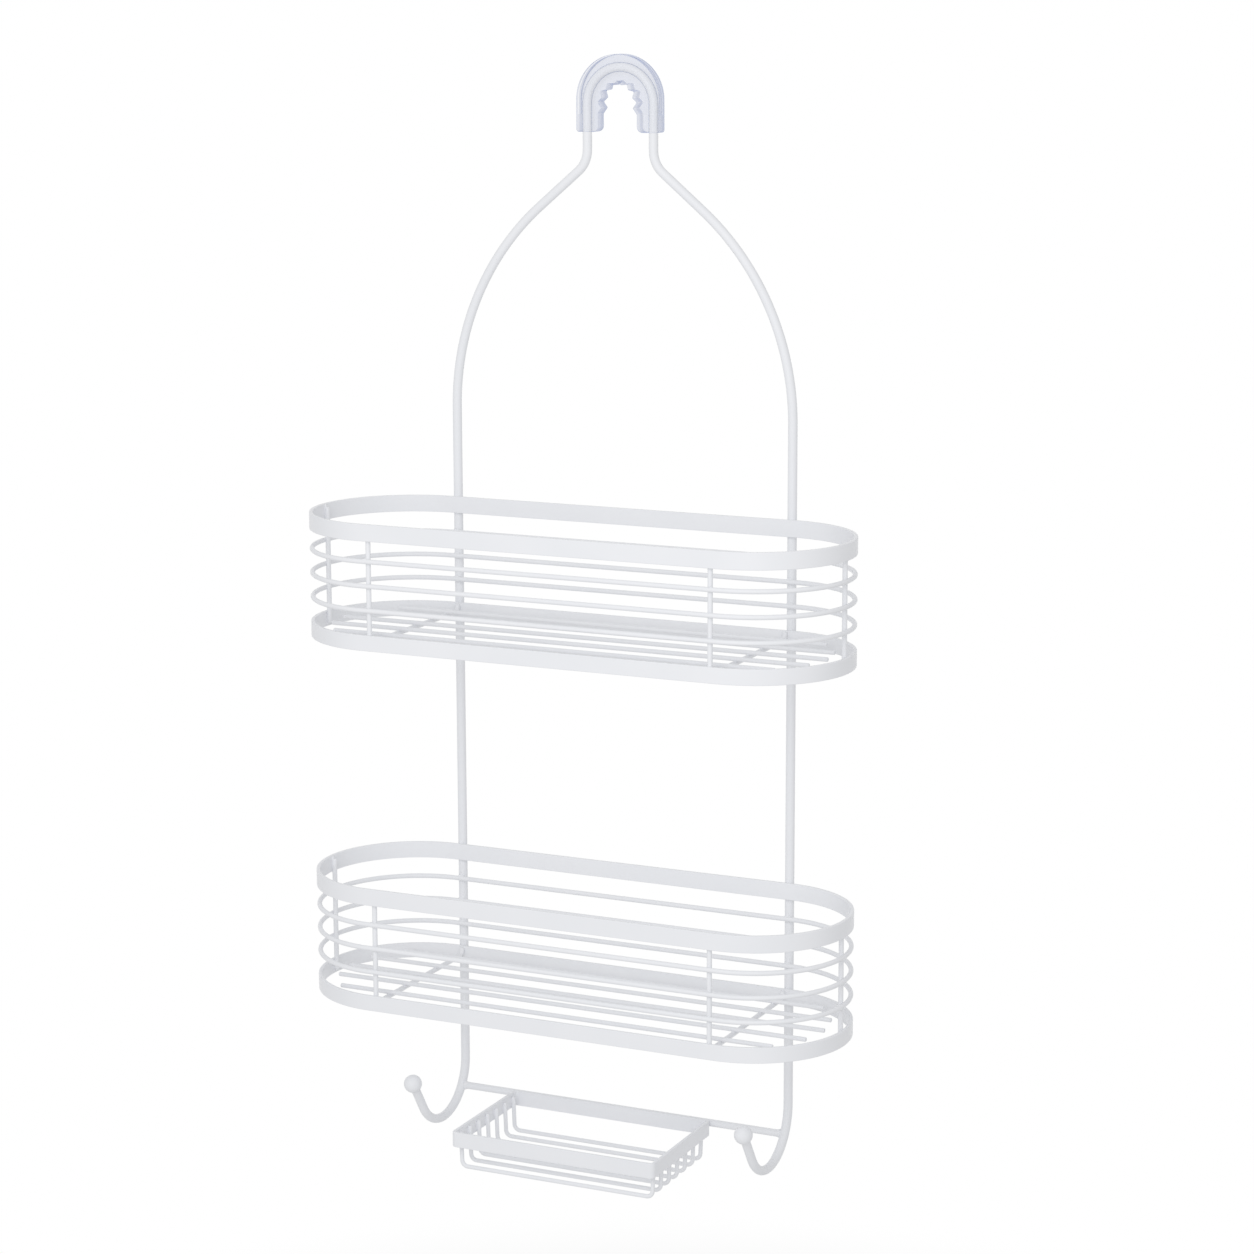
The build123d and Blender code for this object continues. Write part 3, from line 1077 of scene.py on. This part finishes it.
@dataclass
class HangerSleeve(SubAssembly):
    """The clear toothed saddle on the hoop."""

    node: str = "hanger_sleeve"
    outer_radius: float = 24.0 * MM
    inner_radius: float = 11.5 * MM
    crown_lift: float = 2.2 * MM
    grip_lift: float = 0.9 * MM
    leg_drop: float = 14.8 * MM
    outer_corner: float = 1.4 * MM
    inner_corner: float = 3.0 * MM
    tooth_count: int = 6
    tooth_height: float = 2.2 * MM
    leg_steps: int = 2
    rim_round: float = 1.0 * MM
    tooth_share: float = 0.4  # of the rims' rounding
    round_steps: int = 4
    groove_width: float = 3.6 * MM
    groove_depth: float = 0.4 * MM
    groove_drop: float = 5.6 * MM
    bore_d: float = 5.1 * MM
    place_error: float = 0.05 * MM

    def __post_init__(self) -> None:
        """Read the saddle's front and back from its solid."""
        low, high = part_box(self.node)
        self.front_y, self.depth = low.y, high.y - low.y

    def build(self) -> None:
        """Shape the saddle's block, then cut its groove and bore."""
        self.block = self.shape_block()
        self.round_edges()
        self.press_groove()
        self.bore()
        bpy.ops.object.shade_smooth_by_angle(angle=SMOOTH_ANGLE)
        keep_flats(self.block)
        self.keep(self.block, self.node)

    def tooth_points(self) -> list[Vector]:
        """Corners of the grip teeth, from the right leg over the arch to the left.

        Returns:
            The corners on the saddle's front.
        """
        half_pitch = math.pi / self.tooth_count / 2.0
        tip_radius = self.inner_radius - self.tooth_height
        points = []
        for step in range(-self.leg_steps, 2 * self.tooth_count + self.leg_steps + 1):
            radius = tip_radius if step % 2 else self.inner_radius
            angle = min(max(step * half_pitch, 0.0), math.pi)
            below = abs(step * half_pitch - angle) * self.inner_radius
            z = self.grip_lift + radius * math.sin(angle) - below
            points.append(Vector((radius * math.cos(angle), self.front_y, z)))
        return points

    def shape_block(self) -> Piece:
        """Draw the front view and draw it out to the saddle's depth.

        Returns:
            The block with sharp edges, in object mode.
        """
        foot = self.outer_radius - self.inner_radius - self.outer_corner - self.inner_corner
        shank = self.leg_drop - self.groove_drop - self.outer_corner
        left_bend = Vector((-self.inner_radius, self.front_y, self.inner_corner - self.leg_drop))
        start = Vector((-self.outer_radius, self.front_y, -self.groove_drop))
        pen = WireBender(f"{self.node}_clear", PenPoint(), start, UP)
        pen.straight(self.groove_drop + self.crown_lift).bend(self.outer_radius, math.pi, BACK)
        pen.straight(self.crown_lift + self.groove_drop).straight(shank)
        pen.bend(self.outer_corner, QUARTER, BACK).straight(foot)
        pen.bend(self.inner_corner, QUARTER, BACK).corners([*self.tooth_points(), left_bend])
        pen.bend(self.inner_corner, QUARTER, BACK).straight(foot)
        pen.bend(self.outer_corner, QUARTER, BACK).straight(shank).close_loop()
        bpy.ops.mesh.edge_face_add()
        cheek = (self.depth - self.groove_width) / 2.0
        for width in (cheek, self.groove_width, cheek):
            bpy.ops.mesh.extrude_region_move(TRANSFORM_OT_translate={"value": BACK * width})
        return pen.finish()

    def round_edges(self) -> None:
        """Round the block's front and back rims well and its teeth a little."""
        teeth = [(point.x, point.z) for point in self.tooth_points()]
        rims = (self.front_y, self.front_y + self.depth)
        on_tooth, on_rim = set(), set()
        for vertex in self.block.data.vertices:
            x, y, z = vertex.co
            if min(math.dist((x, z), tooth) for tooth in teeth) < self.place_error:
                on_tooth.add(vertex.index)
            if min(abs(y - rim) for rim in rims) < self.place_error:
                on_rim.add(vertex.index)
        tooth_edges, rim_edges = (
            {edge.index for edge in self.block.data.edges if spots.issuperset(edge.vertices)}
            for spots in (on_tooth, on_rim)
        )
        for edges, share in ((tooth_edges, self.tooth_share), (rim_edges - tooth_edges, 1.0)):
            select_parts(self.block, "EDGE", lambda edge: edge.index in edges)
            bpy.ops.transform.edge_bevelweight(value=share)
            bpy.ops.object.mode_set(mode="OBJECT")
        width, steps = self.rim_round, self.round_steps
        apply_modifier(self.block, "BEVEL", limit_method="WEIGHT", width=width, segments=steps)

    def in_groove(self, face: bpy.types.MeshPolygon) -> bool:
        """Tell whether a face lies on the block's outside, along its middle.

        Args:
            face: Face of the block.

        Returns:
            Whether the groove takes it in.
        """
        x, y, z = face.center
        reach = math.hypot(x, max(z - self.crown_lift, 0.0))
        outside = reach > self.outer_radius - self.place_error and z > -self.groove_drop
        return outside and abs(y - self.front_y - self.depth / 2.0) < self.groove_width / 2.0

    def press_groove(self) -> None:
        """Press the shallow groove into the block's outside."""
        select_parts(self.block, "FACE", self.in_groove)
        press = {"value": -self.groove_depth}
        bpy.ops.mesh.extrude_region_shrink_fatten(TRANSFORM_OT_shrink_fatten=press)
        bpy.ops.mesh.select_mode(type="VERT")
        bpy.ops.object.mode_set(mode="OBJECT")

    def bore(self) -> None:
        """Cut the bore that the hoop sits in, with a core that reaches well past both legs."""
        below = 2.0 * self.leg_drop
        start = Vector((-self.hoop_radius, 0.0, -below))
        section = RoundSection(self.bore_d / 2.0, self.frame_wire_sides)
        drill = WireBender("sleeve_bore", section, start, UP)
        drill.straight(below).bend(self.hoop_radius, math.pi, BACK).straight(below)
        core = drill.cap_ends().finish()
        clear_selection()
        self.block.select_set(True)
        bpy.context.view_layer.objects.active = self.block
        apply_modifier(self.block, "BOOLEAN", operation="DIFFERENCE", object=core)
        bpy.data.objects.remove(core)


@dataclass(frozen=True)
class SoftBox:
    """A broad round lamp, by where it stands round the place that it is aimed at."""

    name: str = "key_lamp"
    aim: Place = (0.0, -50.0 * MM, -270.0 * MM)
    azimuth: float = 13.0
    elevation: float = 22.0
    distance: float = 1250.0 * MM
    width: float = 1300.0 * MM
    power: float = 6.3

    def place(self) -> None:
        """Add the lamp, aimed at the caddy."""
        lamp = bpy.data.lights.new(self.name, "AREA")
        lamp.shape = "DISK"
        lamp.size = self.width
        lamp.energy = self.power
        holder = put_in_scene(self.name, lamp)
        away = direction(self.azimuth, self.elevation)
        holder.location = Vector(self.aim) + away * self.distance
        holder.rotation_euler = facing(away)


@dataclass(frozen=True)
class Studio:
    """White surroundings, a pale floor below, a broad soft lamp and the camera."""

    key_lamp: SoftBox = SoftBox()
    white: Colour = (1.0, 1.0, 1.0, 1.0)
    room_light: float = 0.65
    backdrop: float = 1.0
    floor_drop: float = 330.0 * MM
    floor_fade: Span = (250.0 * MM, 750.0 * MM)
    floor_sides: int = 96
    floor_tone: Colour = (0.94, 0.94, 0.94, 1.0)
    camera_azimuth: float = 25.03
    camera_elevation: float = 11.13
    camera_roll: float = math.radians(-0.16)
    camera_distance: float = 1765.6 * MM
    camera_target: Place = (16.93 * MM, -29.55 * MM, -276.0 * MM)
    lens_mm: float = 94.51
    sensor_mm: float = 36.0

    def build(self) -> None:
        """Set up the room, the floor, the lamp and the camera."""
        bpy.context.scene.view_settings.view_transform = "Standard"
        self.fill_room()
        self.lay_floor()
        self.key_lamp.place()
        self.set_camera()

    def fill_room(self) -> None:
        """Fill the room with soft light, and white where it is seen, mirrored or let through."""
        world = bpy.data.worlds.new("white_room")
        sheet = ShaderSheet(world)
        rays = sheet.add("LightPath").outputs
        seen = rays["Is Camera Ray"]
        for ray in ("Is Glossy Ray", "Is Transmission Ray"):
            seen = sheet.calculate("MAXIMUM", seen, rays[ray])
        light, plain = (
            sheet.add("Background", Color=self.white, Strength=strength).outputs["Background"]
            for strength in (self.room_light, self.backdrop)
        )
        mixed = sheet.add("MixShader", seen, light, plain)
        sheet.add("OutputWorld", Surface=mixed.outputs["Shader"])
        bpy.context.scene.world = world

    def lay_floor(self) -> None:
        """Lay a pale round floor that fades into the white room at its rim."""
        clear_selection()
        middle = (0.0, 0.0, CAD_BOX[0][2] - self.floor_drop)
        bpy.ops.mesh.primitive_circle_add(
            vertices=self.floor_sides, radius=self.floor_fade[1], fill_type="NGON", location=middle
        )
        floor = name_piece("studio_floor")
        bpy.ops.object.transform_apply(location=True, rotation=True, scale=True)
        floor.data.materials.append(self.floor_material(middle))

    def floor_material(self, middle: Place) -> bpy.types.Material:
        """Make the floor's pale matt finish, which fades out towards the rim.

        Args:
            middle: Middle of the floor.

        Returns:
            The material.
        """
        matt = bpy.data.materials.new("studio_floor")
        sheet = ShaderSheet(matt)
        place = sheet.add("TexCoord").outputs["Object"]
        distance = sheet.add("VectorMath", place, middle, operation="DISTANCE").outputs["Value"]
        fade = sheet.spread(distance, self.floor_fade)
        fade.node.interpolation_type = "SMOOTHSTEP"
        pale = sheet.add("BsdfDiffuse", Color=self.floor_tone).outputs["BSDF"]
        clear = sheet.add("BsdfTransparent").outputs["BSDF"]
        shader = sheet.add("MixShader", fade, pale, clear)
        sheet.add("OutputMaterial", Surface=shader.outputs["Shader"])
        return matt

    def set_camera(self) -> None:
        """Put the camera where the caddy is seen from in front, a little to the right and above."""
        lens = bpy.data.cameras.new("camera")
        lens.lens = self.lens_mm
        lens.sensor_width = self.sensor_mm
        camera = put_in_scene("camera", lens)
        away = direction(self.camera_azimuth, self.camera_elevation)
        camera.location = Vector(self.camera_target) + away * self.camera_distance
        roll = Matrix.Rotation(self.camera_roll, 3, "Z")
        turn = (-away).to_track_quat("-Z", "Y").to_matrix() @ roll
        camera.rotation_euler = turn.to_euler()
        bpy.context.scene.camera = camera


def main() -> None:
    """Build the caddy piece by piece, dress it and set up the studio."""
    logging.basicConfig(level=logging.INFO, format="%(message)s")
    hanging_frame, dish, sleeve = HangingFrame(), SoapDish(), HangerSleeve()
    upper, lower = Basket(name="upper"), Basket(name="lower")
    coat, plastic = PowderCoat(), ClearPlastic()
    hanging_frame.build()
    upper.build()
    lower.build_like(upper)
    dish.build()
    sleeve.build()
    coat_finish = coat.material()
    for assembly in (hanging_frame, upper, lower, dish):
        assembly.dress(coat.slot, coat_finish)
    sleeve.dress(plastic.slot, plastic.material())
    Studio().build()


if __name__ == "__main__":
    main()
